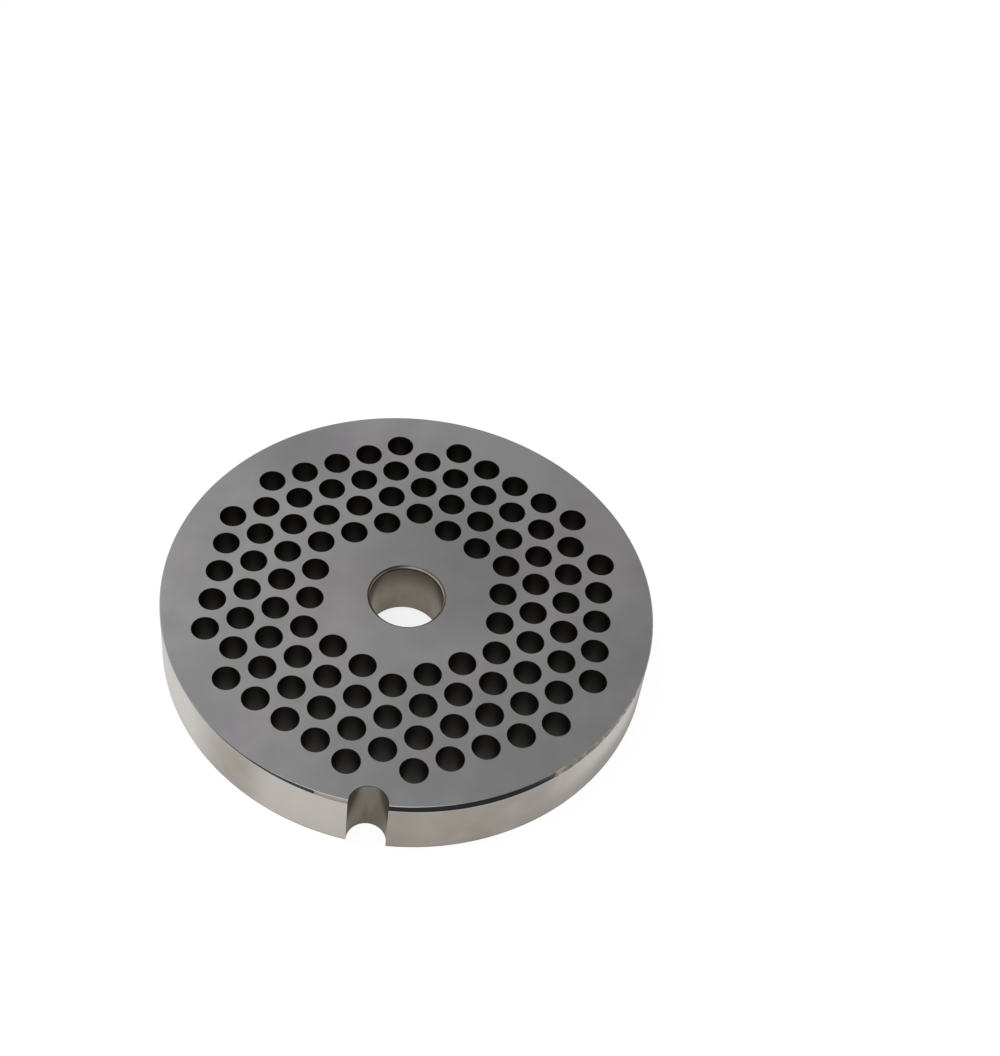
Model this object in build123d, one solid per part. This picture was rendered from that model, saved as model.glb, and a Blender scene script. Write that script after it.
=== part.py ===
from build123d import *
from math import cos, radians, sin, sqrt
import os

# Meat grinder plate: one flat disc of ground steel, drilled through in a hexagonal field.
# Frame: millimetres, +Z up, origin at the centre of the bottom face. The key notch faces -Y.

# disc
outer_diameter = 82.0
thickness = 11.0
bottom_edge_break = 0.2
top_edge_break = 0.12

# centre bore, which runs on the pin of the feed screw
bore_diameter = 12.2
bore_chamfer = 0.45

# key notch in the rim: parallel sides and a half-round inner end
notch_width = 6.3
notch_depth = 3.7

# feed holes: a hexagonal lattice about the bore, taken ring by ring
hole_diameter = 4.5
hole_pitch = 6.1
first_ring = 3
last_ring = 6          # the outermost ring is drilled without its six corner holes
pattern_turn = 1.2     # degrees that the drilled field is turned past the notch

# bevel on the rim's top edge, ground on a cone that stands off the disc's axis, so that it
# runs out on both sides and leaves only the edge break behind
bevel_width = 0.65     # where it is widest
bevel_runout = 1.4     # how far the cone's axis stands off
bevel_heading = -68.0  # degrees from +X to the side where the bevel is widest

outer_radius = outer_diameter / 2
bore_radius = bore_diameter / 2
notch_radius = notch_width / 2


def blank():
    """Turned disc: the section from bore to rim, with its edge breaks, revolved about Z."""
    with BuildPart() as disc:
        with BuildSketch(Plane.XZ):
            with BuildLine():
                Polyline(
                    (bore_radius, 0),
                    (outer_radius - bottom_edge_break, 0),
                    (outer_radius, bottom_edge_break),
                    (outer_radius, thickness - top_edge_break),
                    (outer_radius - top_edge_break, thickness),
                    (bore_radius + bore_chamfer, thickness),
                    (bore_radius, thickness - bore_chamfer),
                    close=True,
                )
            make_face()
        revolve(axis=Axis.Z)
    return disc.part


def bevel_cone():
    """45-degree cone whose flank is the rim's bevel. Off axis, it spares the far side."""
    top_radius = outer_radius - bevel_width + bevel_runout
    heading = radians(bevel_heading)
    offset = (-bevel_runout * cos(heading), -bevel_runout * sin(heading), 0)
    align = (Align.CENTER, Align.CENTER, Align.MIN)
    return Pos(*offset) * Cone(top_radius + thickness, top_radius, thickness, align=align)


def notch():
    """Slot cutter that runs in from the rim along +Y and ends in a half circle."""
    centre_y = notch_depth - notch_radius - outer_radius
    length = outer_radius
    with BuildPart() as cutter:
        with BuildSketch():
            with Locations((0, centre_y)):
                Circle(notch_radius)
            with Locations((0, centre_y - length / 2)):
                Rectangle(notch_width, length)
        extrude(amount=thickness)
    return cutter.part


def hole_centres():
    """Lattice points whose hexagonal ring is in range, without the last ring's corners."""
    reach = range(-last_ring, last_ring + 1)
    for along in reach:
        for across in reach:
            ring = max(abs(along), abs(across), abs(along + across))
            corner = ring == last_ring and 0 in (along, across, along + across)
            if first_ring <= ring <= last_ring and not corner:
                yield (
                    hole_pitch * (along + across / 2),
                    hole_pitch * across * sqrt(3) / 2,
                )


def feed_holes():
    """All the drilled holes as one cutter, turned as the drilled field is."""
    with BuildPart() as drills:
        with BuildSketch(Plane.XY.rotated((0, 0, 90 + pattern_turn))):
            with Locations(*hole_centres()):
                Circle(hole_diameter / 2)
        extrude(amount=thickness)
    return drills.part


grinder_plate = (blank() & bevel_cone()) - notch() - feed_holes()
grinder_plate.label = "grinder_plate"

os.makedirs("parts", exist_ok=True)
export_step(grinder_plate, "parts/grinder_plate.step")
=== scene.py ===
"""Meat grinder plate: its ground, turned, bored and drilled finishes, on a white table in soft light.

Everything is in metres, in the frame of the solid: +Z up, origin at the centre of the bottom face, and the
key notch towards -Y.
"""

from math import asin, cos, pi, radians, sin, sqrt

import bmesh
import bpy
import numpy as np
from mathutils import Matrix, Vector
from mathutils.geometry import delaunay_2d_cdt


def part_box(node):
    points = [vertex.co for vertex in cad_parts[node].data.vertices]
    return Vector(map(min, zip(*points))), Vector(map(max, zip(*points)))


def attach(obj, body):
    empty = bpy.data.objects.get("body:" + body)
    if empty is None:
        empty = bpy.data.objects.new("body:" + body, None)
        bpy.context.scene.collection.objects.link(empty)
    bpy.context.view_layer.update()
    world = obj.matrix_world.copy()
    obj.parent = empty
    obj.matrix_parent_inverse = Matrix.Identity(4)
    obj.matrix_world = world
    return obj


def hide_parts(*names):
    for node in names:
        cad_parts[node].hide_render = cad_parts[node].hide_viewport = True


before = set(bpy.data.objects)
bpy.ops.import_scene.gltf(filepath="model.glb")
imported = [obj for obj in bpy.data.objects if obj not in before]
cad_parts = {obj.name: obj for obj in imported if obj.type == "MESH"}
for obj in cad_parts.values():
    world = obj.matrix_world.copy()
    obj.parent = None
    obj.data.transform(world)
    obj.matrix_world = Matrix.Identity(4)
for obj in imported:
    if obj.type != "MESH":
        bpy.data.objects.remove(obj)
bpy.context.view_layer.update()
plate_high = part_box("grinder_plate")[1]
MM = 0.001

# ---------------------------------------------------------------------------------------------------------
# The plate. One disc of tool steel, turned from bar, drilled and bored through, notched at the rim to take
# the head's locating pin, hardened, and ground flat on both faces. Sizes are in millimetres.

outer_radius = plate_high.x / MM
thickness = plate_high.z / MM

bottom_break = 0.2          # turned chamfer round the bottom edge
top_break = 0.12            # and round the top edge, where the bevel has run out
bevel_width = 0.65          # the bevel is a 45-degree cone that stands off the disc's axis
bevel_runout = 1.4
bevel_heading = radians(-68)
bevel_top = outer_radius - bevel_width + bevel_runout

bore_radius = 6.1
bore_chamfer = 0.45

notch_radius = 3.15
notch_depth = 3.7
notch_centre = notch_depth - notch_radius - outer_radius

hole_radius = 2.25
hole_pitch = 6.1
first_ring, last_ring = 3, 6
pattern_turn = radians(91.2)

hole_ease = 0.08            # how far back from its corner each edge is eased
bore_mouth_ease = 0.05
bore_throat_ease = 0.12
bottom_ease = 0.05
bevel_foot_ease = 0.3       # these two are shares of the bevel's depth
bevel_head_ease = 0.07

rim_steps, notch_steps, bore_steps, hole_steps = 560, 40, 96, 36


def feed_hole_centres():
    """Points i*a + j*b of a hexagonal lattice, kept where max(|i|, |j|, |i + j|) is a drilled ring.

    The last ring goes without its six corners, and the whole field is turned about the bore.
    """
    reach = np.arange(-last_ring, last_ring + 1)
    i, j = (axis.ravel() for axis in np.meshgrid(reach, reach))
    ring = np.maximum(np.maximum(abs(i), abs(j)), abs(i + j))
    corner = (ring == last_ring) & ((i == 0) | (j == 0) | (i + j == 0))
    keep = (ring >= first_ring) & (ring <= last_ring) & ~corner
    point = hole_pitch * (i + 0.5 * j + 1j * sqrt(0.75) * j)[keep] * np.exp(1j * pattern_turn)
    return np.stack([point.real, point.imag], axis=1)


def eased(before, corner, after, reach):
    """Three points that ease a corner of a section: one at reach before it, one at reach past it, and
    between them the middle of the curve that has the corner as its control point."""
    back = reach * (before - corner) / abs(before - corner)
    on = reach * (after - corner) / abs(after - corner)
    return [corner + back, corner + (back + on) / 4, corner + on]


def turned_wall(centres, section, steps):
    """Carries a section of radius + height*i round each centre: x = cx + r cos a, y = cy + r sin a.

    Gives the points as an array of centre, angle, section point, xyz.
    """
    section = np.array(section)
    angle = np.linspace(0, 2 * pi, steps, endpoint=False)[None, :, None]
    x = centres[:, 0, None, None] + section.real * np.cos(angle)
    y = centres[:, 1, None, None] + section.real * np.sin(angle)
    return np.stack([x, y, np.broadcast_to(section.imag, x.shape)], axis=-1)


def rim_section(angle):
    """Section of the rim at an angle, as radius + height*i, from the bottom face to the top face.

    The bevel's cone meets the wall at the depth |p - axis| - top radius, and the top face where that depth
    is nil. Where the cone lies inside the top edge's break, the break stands in for it.
    """
    axis = -bevel_runout * np.exp(1j * bevel_heading)
    depth = abs(outer_radius * np.exp(1j * angle) - axis) - bevel_top
    off = angle - bevel_heading
    head = -bevel_runout * np.cos(off) + np.sqrt(bevel_top**2 - (bevel_runout * np.sin(off)) ** 2)
    depth = np.maximum(depth, top_break)
    head = np.minimum(head, outer_radius - top_break) + 1j * thickness
    foot = outer_radius + 1j * (thickness - depth)
    low_head = outer_radius - bottom_break + 0j * angle
    low_foot = outer_radius + 1j * bottom_break + 0j * angle
    middle = outer_radius + 0.5j * thickness + 0j * angle
    return [
        *eased(low_head - 1, low_head, low_foot, bottom_ease),
        *eased(low_head, low_foot, middle, bottom_ease),
        middle,
        *eased(middle, foot, head, bevel_foot_ease * depth),
        *eased(foot, head, head - 1, bevel_head_ease * depth),
    ]


def rim_wall():
    """Rings of the rim, from the notch's right side all the way round to its left side.

    A ring's angle runs evenly between the two points where |x| is half the notch's width.
    """
    share = np.linspace(0, 1, rim_steps + 1)
    rings = []
    for ring in range(len(rim_section(share))):
        ends = []
        for side in (1, -1):
            end = -pi / 2
            for _ in range(5):
                end = -pi / 2 + side * asin(notch_radius / rim_section(np.array([end]))[ring].real[0])
            ends.append(end)
        angle = ends[0] + share * (ends[1] + 2 * pi - ends[0])
        point = rim_section(angle)[ring]
        rings.append(np.stack([point.real * np.cos(angle), point.real * np.sin(angle), point.imag], axis=1))
    return np.stack(rings)


def notch_wall(right, left):
    """Half-round wall of the notch: an arc about the notch's centre, from one side to the other, bottom and
    top. Its ends are the rim's own end points, so that the two join."""
    start = asin((right[1] - notch_centre) / notch_radius)
    end = pi - asin((left[1] - notch_centre) / notch_radius)
    angle = np.linspace(start, end, notch_steps + 1)
    x, y = notch_radius * np.cos(angle), notch_centre + notch_radius * np.sin(angle)
    x[0], x[-1] = right[0], left[0]
    top = np.stack([x, y, np.full_like(x, thickness)], axis=1)
    return np.stack([top * (1, 1, 0), top])


def flat_face(loops, height, mouths):
    """Triangles of a flat face between its closed outlines, less those whose middle lies in a mouth.

    mouths is an array of x, y, radius for every round opening.
    """
    points = np.concatenate(loops)[:, :2]
    edges, base = [], 0
    for loop in loops:
        here = base + np.arange(len(loop))
        edges += np.stack([here, np.roll(here, -1)], axis=1).tolist()
        base += len(loop)
    inside_only, same_point = 1, 1e-6
    made = delaunay_2d_cdt([Vector(p) for p in points], edges, [], inside_only, same_point)
    flat = np.array([tuple(p) for p in made[0]])
    triangles = np.array(made[2])
    middle = flat[triangles].mean(axis=1)
    gap = np.hypot(*(middle[:, None] - mouths[None, :, :2]).transpose(2, 0, 1)) - mouths[:, 2]
    triangles = triangles[(gap > 0).all(axis=1)]
    return np.column_stack([flat, np.full(len(flat), height)]), triangles


def grid_quads(rows, columns, closed):
    """Corner numbers of the quads of a grid of rows by columns, with its last row joined to its first if
    closed."""
    number = np.arange(rows * columns).reshape(rows, columns)
    if closed:
        number = np.vstack([number, number[:1]])
    corners = [number[:-1, :-1], number[1:, :-1], number[1:, 1:], number[:-1, 1:]]
    return np.stack(corners, axis=-1).reshape(-1, 4)


LAPPED, TURNED, BEVELLED, BORED, DRILLED, MILLED = range(6)
parts = []                  # points, faces, finish

centres = feed_hole_centres()
top, bottom = hole_radius + 1j * thickness, hole_radius + 0j
hole_section = eased(top + 1, top, bottom, hole_ease) + eased(top, bottom, bottom + 1, hole_ease)
hole_walls = turned_wall(centres, hole_section, hole_steps)
for wall in hole_walls:
    parts.append((wall.reshape(-1, 3), grid_quads(hole_steps, len(hole_section), True), DRILLED))

mouth = bore_radius + bore_chamfer + 1j * thickness
throat = bore_radius + 1j * (thickness - bore_chamfer)
bottom = bore_radius + 0j
bore_section = [
    *eased(mouth + 1, mouth, throat, bore_mouth_ease),
    *eased(mouth, throat, bottom, bore_throat_ease),
    *eased(throat, bottom, bottom + 1, hole_ease),
]
bore_wall = turned_wall(np.zeros((1, 2)), bore_section, bore_steps)
parts.append((bore_wall.reshape(-1, 3), grid_quads(bore_steps, len(bore_section), True), BORED))

rim = rim_wall()
columns = rim_steps + 1
seam = 8                    # middle point of the eased edge between wall and bevel
parts.append((rim[: seam + 1].reshape(-1, 3), grid_quads(seam + 1, columns, False), TURNED))
parts.append((rim[seam:].reshape(-1, 3), grid_quads(len(rim) - seam, columns, False), BEVELLED))

notch = notch_wall(rim[-1, 0], rim[-1, -1])
parts.append((notch.reshape(-1, 3), grid_quads(2, notch_steps + 1, False), MILLED))
for end in (0, -1):
    cheek = np.concatenate([rim[:, end], notch[:1, end]])
    parts.append((cheek, np.arange(len(cheek))[None], MILLED))

for height, ring, hole_end in ((thickness, -1, 0), (0.0, 0, -1)):
    bore_mouth = bore_section[hole_end].real
    hole_mouths = np.full(len(centres), hole_section[hole_end].real)
    mouths = np.vstack([[0, 0, bore_mouth], np.column_stack([centres, hole_mouths])])
    arc = notch[1, -2:0:-1] if height else notch[0, ::-1]
    outline = np.concatenate([rim[ring], arc])
    loops = [outline, bore_wall[0, :, hole_end], *hole_walls[:, :, hole_end]]
    parts.append((*flat_face(loops, height, mouths), LAPPED))

points, faces, finishes = [], [], []
start = 0
for part_points, part_faces, finish in parts:
    points.append(part_points)
    faces += (part_faces + start).tolist()
    finishes += [finish] * len(part_faces)
    start += len(part_points)

weld = 0.002                # points nearer than this are one
crease = 60                 # degrees past which an edge stays sharp
mesh = bpy.data.meshes.new("drilled_plate")
mesh.from_pydata(np.concatenate(points) * MM, [], faces)
mesh.polygons.foreach_set("material_index", finishes)
work = bmesh.new()
work.from_mesh(mesh)
bmesh.ops.remove_doubles(work, verts=work.verts, dist=weld * MM)
bmesh.ops.recalc_face_normals(work, faces=work.faces)
curved = [face.material_index != LAPPED for face in work.faces]
work.to_mesh(mesh)
work.free()
mesh.set_sharp_from_angle(angle=radians(crease))
mesh.polygons.foreach_set("use_smooth", curved)
plate = bpy.data.objects.new("drilled_plate", mesh)
bpy.context.scene.collection.objects.link(plate)
shading = plate.modifiers.new("wide faces rule the shading", "WEIGHTED_NORMAL")
shading.keep_sharp = True
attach(plate, "root")
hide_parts("grinder_plate")


class Wire:
    """A shader socket that adds a Math node for each operator it meets."""

    def __init__(self, tree, socket):
        self.tree, self.socket = tree, socket

    def joined(self, operation, first, second):
        return node(self.tree, "ShaderNodeMath", {"operation": operation}, {0: first, 1: second})

    def __add__(self, other):
        return self.joined("ADD", self, other)

    def __sub__(self, other):
        return self.joined("SUBTRACT", self, other)

    def __rsub__(self, other):
        return self.joined("SUBTRACT", other, self)

    def __mul__(self, other):
        return self.joined("MULTIPLY", self, other)

    __radd__, __rmul__ = __add__, __mul__


def node(tree, kind, settings, values, out=0):
    """Adds a node, sets its settings, then gives its sockets their values or links, and wires its output."""
    made = tree.nodes.new(kind)
    for name, value in settings.items():
        setattr(made, name, value)
    for name, value in values.items():
        if isinstance(value, Wire):
            tree.links.new(value.socket, made.inputs[name])
        else:
            made.inputs[name].default_value = value
    return Wire(tree, made.outputs[out])


def clamped(wire, low, high):
    """Runs from 0 at low to 1 at high, smoothly."""
    return node(wire.tree, "ShaderNodeMapRange", {"interpolation_type": "SMOOTHSTEP"},
                {"Value": wire, "From Min": low, "From Max": high})


def mixed(tree, share, first, second):
    """Colour that goes from the first to the second as share goes from 0 to 1."""
    first, second = (value if isinstance(value, Wire) else (*value, 1) for value in (first, second))
    return node(tree, "ShaderNodeMix", {"data_type": "RGBA"}, {0: share, 6: first, 7: second}, 2)


def noise(place, stretch, scale, detail, shift=0.0):
    """Cloudy noise that lies about 0.5, on the place scaled along each axis by stretch, per metre."""
    spread = node(place.tree, "ShaderNodeMapping", {}, {0: place, 1: (shift, shift, shift), 3: stretch})
    return node(place.tree, "ShaderNodeTexNoise", {}, {"Vector": spread, "Scale": scale, "Detail": detail})


def steel(name):
    """A bare metal material on the plate: its tree, its shader node and the place on the plate."""
    material = bpy.data.materials.new(name)
    material.use_nodes = True
    tree = material.node_tree
    shader = tree.nodes["Principled BSDF"]
    shader.inputs["Metallic"].default_value = 1.0
    plate.data.materials.append(material)
    return tree, shader, node(tree, "ShaderNodeTexCoord", {}, {}, "Object")


def feed(shader, socket, wire):
    """Links a wire to one of the shader's sockets."""
    wire.tree.links.new(wire.socket, shader.inputs[socket])


def relief(height, depth):
    """Normal that shows a height from 0 to 1 as depth metres of relief."""
    return node(height.tree, "ShaderNodeBump", {}, {"Height": height, "Distance": depth, "Strength": 1.0})


def near(place, centre, inner, outer):
    """Is 1 within inner metres of a point, and fades to 0 at outer."""
    off = node(place.tree, "ShaderNodeVectorMath", {"operation": "DISTANCE"}, {0: place, 1: centre}, "Value")
    return 1.0 - clamped(off, inner, outer)


def band(wire, low, low_full, high_full, high):
    """Is 1 between low_full and high_full, and fades to 0 at low and at high."""
    return clamped(wire, low, low_full) - clamped(wire, high_full, high)


def round_and_up(place):
    """Angle round the axis, from -180 to 180 degrees with 0 at +X, and height in millimetres."""
    across = node(place.tree, "ShaderNodeSeparateXYZ", {}, {0: place})
    x, y, z = (Wire(place.tree, socket) for socket in across.socket.node.outputs)
    angle = node(place.tree, "ShaderNodeMath", {"operation": "ARCTAN2"}, {0: y, 1: x})
    return angle * (180 / pi), z * (1 / MM)


# Both faces: lapped to a grey satin, with faint clouds of tarnish, and painted darker beside the bore and at
# the back left edge: painted shade that stands in for an uneven reflection. In the finishes, places are in
# metres, angles in degrees and heights in millimetres.
cloud_dark, cloud_light = (0.352, 0.348, 0.349), (0.428, 0.420, 0.419)
cool, warm = (0.985, 1.0, 1.0), (1.01, 0.985, 1.015)
shade_grey = (0.26, 0.26, 0.265)
beside_bore = (0.004, 0.007, thickness * MM)
back_left = (-0.026, 0.032, thickness * MM)

tree, shader, place = steel("lapped_steel")
broad = noise(place, (1, 1, 1), 34.0, 2.0, 3.1)
small = noise(place, (1, 1, 1), 190.0, 3.0)
smear = noise(place, (1, 0.25, 1), 120.0, 2.0, 1.7)
cloud = clamped(0.5 * broad + 0.25 * small + 0.25 * smear, 0.38, 0.62)
grey = mixed(tree, cloud, cloud_dark, cloud_light)
tint = mixed(tree, clamped(noise(place, (1, 1, 1), 60.0, 1.0, 8.4), 0.40, 0.62), cool, warm)
product = {"data_type": "RGBA", "blend_type": "MULTIPLY"}
tone = node(tree, "ShaderNodeMix", product, {0: 1.0, 6: grey, 7: tint}, 2)
# Painted shade: darker patches beside the bore and at the back left edge.
reflection_shade = 0.5 * near(place, beside_bore, 0.008, 0.021) + 0.55 * near(place, back_left, 0.004, 0.017)
feed(shader, "Base Color", mixed(tree, reflection_shade, tone, shade_grey))
feed(shader, "Roughness", 0.20 + 0.08 * smear)

# The rim: turned, with fine rings from the tool and soft brown smears. It has painted highlights up its
# right, on its left and beside the notch, painted shade towards the right, and a dark line of painted
# contact shade at its foot.
smeared, clean = (0.44, 0.39, 0.345), (0.52, 0.478, 0.435)
painted_highlight, rim_shade, foot_shade_brown = (0.78, 0.74, 0.70), (0.32, 0.30, 0.28), (0.16, 0.125, 0.10)
ring_depth = 0.002 * MM

tree, shader, place = steel("turned_steel")
angle, height = round_and_up(place)
smear = noise(place, (1, 1, 0.4), 120.0, 2.0)
patch = noise(place, (1, 1, 1), 260.0, 1.0, 5.2)
tone = mixed(tree, clamped(0.7 * smear + 0.3 * patch, 0.34, 0.66), smeared, clean)
# Painted highlights: paler up the right, on the left and beside the notch's left side.
right_highlight = band(angle + 4.0 * patch, -55.0, -28.0, -20.0, -8.0) * clamped(height + 2.0 * smear, 2.5, 9.0)
left_highlight = band(angle, -175.0, -160.0, -140.0, -124.0)
by_notch = band(angle + 2.0 * patch, -121.0, -110.0, -94.0, -90.0)
tone = mixed(tree, right_highlight + 0.9 * left_highlight + 0.68 * by_notch, tone, painted_highlight)
# Painted shade: duller towards the right, and more so low down at the right.
shaded_right = band(angle, -22.0, -10.0, 15.0, 40.0)
shaded_right_foot = band(angle, -40.0, -26.0, 15.0, 40.0) * (1.0 - clamped(height, 1.0, 7.5))
tone = mixed(tree, 0.45 * shaded_right + 0.4 * shaded_right_foot, tone, rim_shade)
# Painted contact shade: a dark brown line at the rim's foot.
foot_shade = 1.0 - clamped(height + 0.4 * patch, 0.35, 0.8)
feed(shader, "Base Color", mixed(tree, 0.75 * foot_shade, tone, foot_shade_brown))
feed(shader, "Normal", relief(noise(place, (0.02, 0.02, 1), 5200.0, 2.0), ring_depth))
feed(shader, "Roughness", 0.22 + 0.14 * smear)

# The bevel: ground bright, save for two stretches that were dressed rough with a file, their lighter beige
# colour partly a painted highlight: one that ends at the notch's left side, and a longer one round the
# right.
bright, filed_beige_highlight = (0.48, 0.49, 0.51), (0.74, 0.66, 0.58)
file_dark, filed_highlight = (0.46, 0.405, 0.35), (0.80, 0.72, 0.64)

tree, shader, place = steel("bevelled_steel")
angle, height = round_and_up(place)
grain = noise(place, (1, 1, 1), 900.0, 2.0)
by_notch = band(angle + 2.0 * grain, -101.5, -100.0, -86.0, -85.0)
filed = band(angle + 8.0 * grain, -47.0, -41.0, 10.0, 30.0)
# The filed stretches are rough, and their lighter beige colours are partly painted highlight.
tone = mixed(tree, filed, bright, mixed(tree, clamped(grain, 0.35, 0.65), file_dark, filed_highlight))
feed(shader, "Base Color", mixed(tree, by_notch, tone, filed_beige_highlight))
feed(shader, "Roughness", 0.08 + 0.08 * grain + 0.42 * filed + 0.42 * by_notch)

# The bore: bored and reamed, browned by fat and darker towards its mouth as painted shade, with a chamfer
# between two dark edges of painted shade that has a painted cream highlight at the back.
wall_brown, wall_light, mouth_shade = (0.25, 0.215, 0.168), (0.32, 0.28, 0.228), (0.10, 0.078, 0.058)
chamfer_brown, glint_cream, edge_shade = (0.42, 0.38, 0.32), (1.0, 0.92, 0.80), (0.06, 0.05, 0.035)
chamfer_foot = thickness - bore_chamfer
ream_depth = 0.004 * MM

tree, shader, place = steel("bored_steel")
angle, height = round_and_up(place)
stain = clamped(noise(place, (1, 1, 0.5), 260.0, 3.0), 0.35, 0.65)
tone = mixed(tree, stain, wall_brown, wall_light)
# Painted shade: darker towards the mouth.
tone = mixed(tree, 0.75 * clamped(height, 5.0, 10.2), tone, mouth_shade)
chamfer = clamped(height, chamfer_foot + 0.01, chamfer_foot + 0.09)
# Painted highlight: the chamfer is cream at the back.
glint_at_back = band(angle, 30.0, 65.0, 85.0, 120.0)
tone = mixed(tree, chamfer, tone, mixed(tree, glint_at_back, chamfer_brown, glint_cream))
# Painted shade: dark lines along both edges of the chamfer.
upper_edge = clamped(height, thickness - 0.24, thickness - 0.16)
lower_edge = band(height, chamfer_foot - 0.30, chamfer_foot - 0.13, chamfer_foot - 0.01, chamfer_foot + 0.07)
feed(shader, "Base Color", mixed(tree, 0.85 * (upper_edge + lower_edge), tone, edge_shade))
feed(shader, "Roughness", 0.30 + 0.1 * chamfer)
feed(shader, "Normal", relief(noise(place, (0.05, 0.05, 1), 3600.0, 2.0), ream_depth))

# The feed holes: painted dark for the shade inside them, with a brown tarnish.
tree, shader, place = steel("drilled_steel")
tarnish = noise(place, (1, 1, 0.4), 700.0, 2.0)
feed(shader, "Base Color", mixed(tree, tarnish, (0.068, 0.063, 0.05), (0.12, 0.114, 0.096)))
shader.inputs["Roughness"].default_value = 0.4

# The key notch: milled with an end mill, browned like the bore, and darker along its top edge.
tree, shader, place = steel("milled_steel")
angle, height = round_and_up(place)
stain = clamped(noise(place, (1, 1, 0.3), 420.0, 3.0, 2.2), 0.35, 0.65)
tone = mixed(tree, stain, (0.20, 0.178, 0.138), (0.265, 0.238, 0.19))
top_edge = clamped(height, thickness - 0.4, thickness - 0.1)
feed(shader, "Base Color", mixed(tree, top_edge, tone, (0.12, 0.10, 0.075)))
shader.inputs["Roughness"].default_value = 0.33

# ---------------------------------------------------------------------------------------------------------
# The table: a wide sheet of white paper that the plate lies on. It glows white past the plate and through
# the bore, keeps the plate's shade between the two, and is clear from below.

half_side = 3.0
table_gap = 0.02 * MM
paper_white = (0.9, 0.9, 0.9, 1)
shade_edge = 0.885 * outer_radius * MM, 0.905 * outer_radius * MM
bore_edge = bore_radius * MM, 1.2 * bore_radius * MM
corners = [(x * half_side, y * half_side, 0) for x, y in ((-1, -1), (1, -1), (1, 1), (-1, 1))]
table_mesh = bpy.data.meshes.new("table")
table_mesh.from_pydata(corners, [], [(0, 1, 2, 3)])
table = bpy.data.objects.new("table", table_mesh)
table.location.z = -table_gap
bpy.context.scene.collection.objects.link(table)

paper = bpy.data.materials.new("white_paper")
paper.use_nodes = True
tree = paper.node_tree
shader = tree.nodes["Principled BSDF"]
shader.inputs["Base Color"].default_value = paper_white
shader.inputs["Roughness"].default_value = 0.9
shader.inputs["Specular IOR Level"].default_value = 0.0
place = node(tree, "ShaderNodeTexCoord", {}, {}, "Object")
flat = node(tree, "ShaderNodeVectorMath", {"operation": "MULTIPLY"}, {0: place, 1: (1.0, 1.0, 0.0)})
away = node(tree, "ShaderNodeVectorMath", {"operation": "LENGTH"}, {0: flat}, "Value")
past_plate = clamped(away, *shade_edge)
in_bore = 1.0 - clamped(away, *bore_edge)
seen = node(tree, "ShaderNodeLightPath", {}, {}, "Is Camera Ray")
mirrored = node(tree, "ShaderNodeLightPath", {}, {}, "Is Glossy Ray")
glow = node(tree, "ShaderNodeEmission", {}, {"Color": (1, 1, 1, 1), "Strength": 1.1})
share = seen * (0.85 * past_plate + 0.72 * in_bore) + 0.3 * mirrored
blend = node(tree, "ShaderNodeMixShader", {}, {0: share, 1: Wire(tree, shader.outputs[0]), 2: glow})
from_below = node(tree, "ShaderNodeNewGeometry", {}, {}, "Backfacing")
sheer = node(tree, "ShaderNodeBsdfTransparent", {}, {})
sheet = node(tree, "ShaderNodeMixShader", {}, {0: from_below, 1: blend, 2: sheer})
tree.links.new(sheet.socket, tree.nodes["Material Output"].inputs["Surface"])
table_mesh.materials.append(paper)

# ---------------------------------------------------------------------------------------------------------
# Light: a grey room, brighter on the left and dark behind the camera, and one wide soft box overhead. The
# camera sees the room as plain white.

world = bpy.data.worlds.new("studio")
bpy.context.scene.world = world
world.use_nodes = True
tree = world.node_tree
way = node(tree, "ShaderNodeTexCoord", {}, {}, "Generated")
split = node(tree, "ShaderNodeSeparateXYZ", {}, {0: way})
to_right, to_far = (Wire(tree, socket) for socket in split.socket.node.outputs[:2])
behind = clamped(0.0 - to_far, 0.05, 0.5)
left = clamped(0.0 - to_right, 0.0, 0.5)
high_left = clamped(0.0 - to_right, -0.14, 0.16)
room = (0.42 + 0.36 * left + 0.2 * high_left) * (1.0 - 0.9 * behind)
seen = node(tree, "ShaderNodeLightPath", {}, {}, "Is Camera Ray")
strength = seen + room * (1.0 - seen)
tree.links.new(strength.socket, tree.nodes["Background"].inputs["Strength"])
tree.nodes["Background"].inputs["Color"].default_value = (1, 1, 1, 1)

lamp_azimuth = radians(258)         # from +X, anticlockwise
lamp_elevation = radians(66)
lamp_distance = 1.2
lamp = bpy.data.lights.new("soft_box", "AREA")
lamp.size = 0.9
lamp.energy = 4.0
soft_box = bpy.data.objects.new("soft_box", lamp)
level = cos(lamp_elevation)
outward = Vector((cos(lamp_azimuth) * level, sin(lamp_azimuth) * level, sin(lamp_elevation)))
soft_box.location = outward * lamp_distance
soft_box.rotation_euler = outward.to_track_quat("Z", "Y").to_euler()
bpy.context.scene.collection.objects.link(soft_box)

# ---------------------------------------------------------------------------------------------------------
# Camera: in front of the plate and above it, with the plate low and left in the picture.

camera_aim = Vector((-12.65, 29.14, thickness)) * MM
camera_azimuth = radians(6.94)      # from -Y, anticlockwise
camera_elevation = radians(47.59)
camera_roll = radians(3.15)
camera_distance = 0.31715
focal_pixels, long_side = 1781.4, 1056

lens = bpy.data.cameras.new("camera")
lens.sensor_width = 36.0
lens.lens = focal_pixels * lens.sensor_width / long_side
lens.shift_x = 140 / long_side
lens.shift_y = -70 / long_side
camera = bpy.data.objects.new("camera", lens)
level = cos(camera_elevation)
back = Vector((sin(camera_azimuth) * level, -cos(camera_azimuth) * level, sin(camera_elevation)))
camera.location = camera_aim + camera_distance * back
facing = back.to_track_quat("Z", "Y").to_matrix()
camera.rotation_euler = (facing @ Matrix.Rotation(camera_roll, 3, "Z")).to_euler()
bpy.context.scene.collection.objects.link(camera)
bpy.context.scene.camera = camera

view = bpy.context.scene.view_settings
view.view_transform = "Standard"
